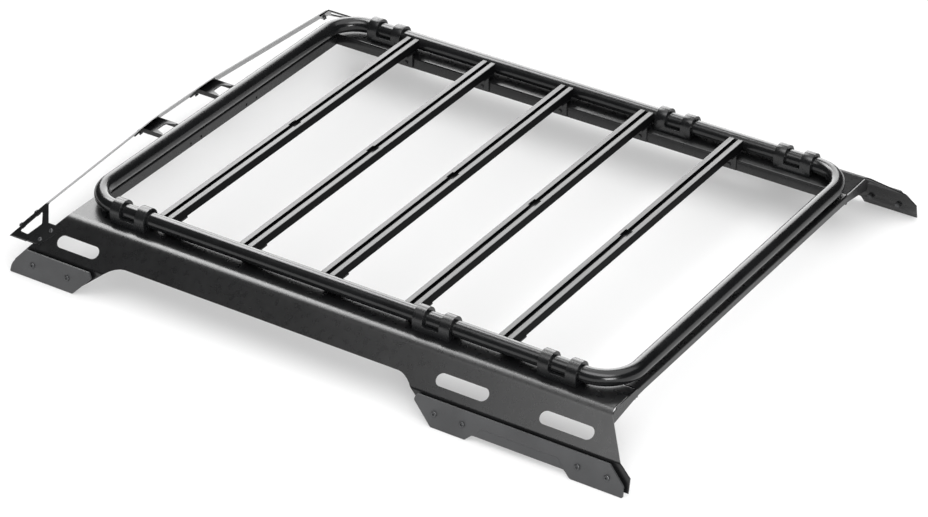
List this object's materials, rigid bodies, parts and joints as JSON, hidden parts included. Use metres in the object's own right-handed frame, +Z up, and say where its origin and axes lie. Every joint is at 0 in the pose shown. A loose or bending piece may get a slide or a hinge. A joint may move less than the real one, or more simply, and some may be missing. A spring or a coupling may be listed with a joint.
{
  "type": "roof rack",
  "caption": "Open vehicle roof rack: round tube rail in clamp saddles, folded side panels on bolted feet, slotted cross bars and a raked front wind fairing.",
  "frame": {"origin": "centre of the rack's footprint, on the level of the lower edges of its feet", "axes": "+X towards the left side of the vehicle, +Y towards its rear (the fairing is at -Y), +Z up"},
  "size_m": [1.3536, 1.7168, 0.1851],
  "materials": {
    "coat": "satin black powder coat",
    "tube": "semi-gloss black powder coat",
    "plate": "matte black textured coat",
    "cast": "semi-gloss black coat on castings",
    "bar": "black anodised extrusion",
    "steel": "black zinc plated fasteners"
  },
  "bodies": {
    "root": {"rail_loop": "tube", "left_side_panel": "coat", "right_side_panel": "coat", "front_left_foot_plate": "plate", "rear_left_foot_plate": "plate", "front_left_foot_bolt_1": "steel", "front_left_foot_bolt_2": "steel", "rear_left_foot_bolt_1": "steel", "rear_left_foot_bolt_2": "steel", "rear_left_foot_bolt_3": "steel", "rear_left_foot_bolt_4": "steel", "front_right_foot_plate": "plate", "rear_right_foot_plate": "plate", "front_right_foot_bolt_1": "steel", "front_right_foot_bolt_2": "steel", "rear_right_foot_bolt_1": "steel", "rear_right_foot_bolt_2": "steel", "rear_right_foot_bolt_3": "steel", "rear_right_foot_bolt_4": "steel", "front_left_saddle": "cast", "middle_left_saddle": "cast", "rear_left_saddle": "cast", "front_right_saddle": "cast", "middle_right_saddle": "cast", "rear_right_saddle": "cast", "cross_bar_1": "bar", "cross_bar_1_left_bracket": "cast", "cross_bar_1_right_bracket": "cast", "cross_bar_2": "bar", "cross_bar_2_left_bracket": "cast", "cross_bar_2_right_bracket": "cast", "cross_bar_3": "bar", "cross_bar_3_left_bracket": "cast", "cross_bar_3_right_bracket": "cast", "cross_bar_4": "bar", "cross_bar_4_left_bracket": "cast", "cross_bar_4_right_bracket": "cast", "cross_bar_5": "bar", "cross_bar_5_left_bracket": "cast", "cross_bar_5_right_bracket": "cast", "front_cross_member": "coat", "rear_cross_member": "coat", "wind_fairing": "coat", "fairing_left_end_bracket": "coat", "fairing_left_middle_bracket": "coat", "fairing_left_middle_bolt_1": "steel", "fairing_left_middle_bolt_2": "steel", "fairing_left_end_bolt_1": "steel", "fairing_left_end_bolt_2": "steel", "fairing_left_tab_bolt_1": "steel", "fairing_left_tab_bolt_2": "steel", "fairing_right_end_bracket": "coat", "fairing_right_middle_bracket": "coat", "fairing_right_middle_bolt_1": "steel", "fairing_right_middle_bolt_2": "steel", "fairing_right_end_bolt_1": "steel", "fairing_right_end_bolt_2": "steel", "fairing_right_tab_bolt_1": "steel", "fairing_right_tab_bolt_2": "steel"}
  },
  "joints": []
}
